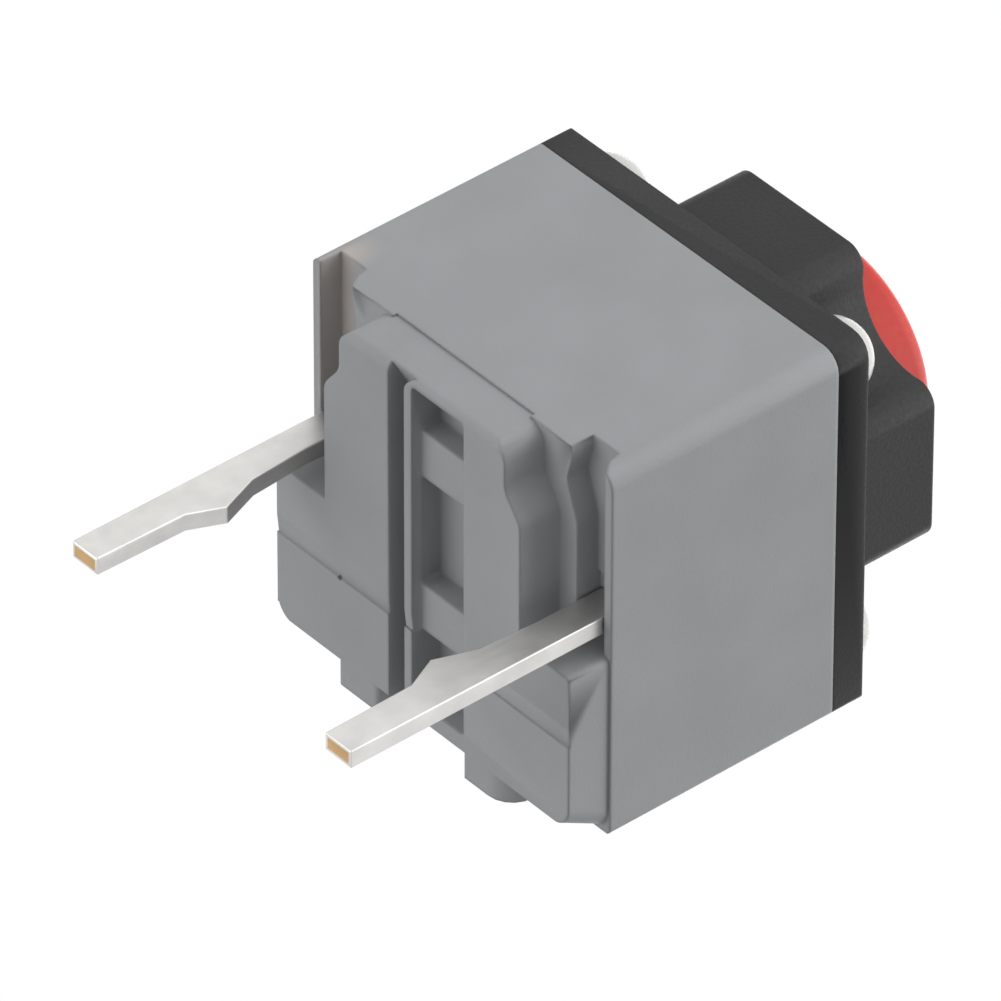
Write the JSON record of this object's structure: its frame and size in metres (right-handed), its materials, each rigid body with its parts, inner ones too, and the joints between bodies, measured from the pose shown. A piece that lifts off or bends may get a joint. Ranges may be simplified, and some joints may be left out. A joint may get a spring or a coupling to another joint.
{
  "type": "tactile push button switch",
  "caption": "Square 6 mm push button switch: moulded base with two flat pins, cover with a boss, domed button, and a rocking contact blade inside.",
  "frame": {"origin": "centre of the square housing on the face of the foot blocks, which stands on the circuit board", "axes": "+Z out through the button, X from the left pin to the right pin, -Y towards the side that the side channels open to"},
  "size_m": [0.006, 0.006, 0.0112],
  "materials": {
    "base_grey": "fine moulded texture",
    "cover_black": "fine moulded texture",
    "frame_white": "smooth natural nylon",
    "button_red": "satin",
    "damper_rubber": "matt silicone",
    "spring_steel": "drawn wire",
    "tinned_brass": "bright tin plate, brass at the sheared tips",
    "contact_silver": "burnished silver alloy",
    "blade_bronze": "rolled phosphor bronze"
  },
  "bodies": {
    "housing": {"base": "base_grey", "cover": "cover_black", "guide_frame": "frame_white", "left_terminal": "tinned_brass", "right_terminal": "tinned_brass", "fixed_contact": "contact_silver", "return_spring": "spring_steel"},
    "plunger": {"button": "button_red", "damper_ring": "damper_rubber"},
    "blade": {"contact_blade": "blade_bronze", "moving_contact": "contact_silver"}
  },
  "joints": [
    {"name": "button_press", "type": "slide", "parent": "housing", "child": "plunger", "axis": [0, 0, -1], "range_m": [0, 0.0003], "stiffness_N_per_m": 800, "springref_m": -0.0004, "deforming": ["return_spring"]},
    {"name": "blade_rock", "type": "hinge", "parent": "housing", "child": "blade", "pos_m": [-0.0021, 0, 0.00214], "axis": [0, 1, 0], "range_deg": [0, 8.2]}
  ],
  "couplings": [
    {"joint": "blade_rock", "follows": "button_press", "rad_per_m": 476.19}
  ]
}
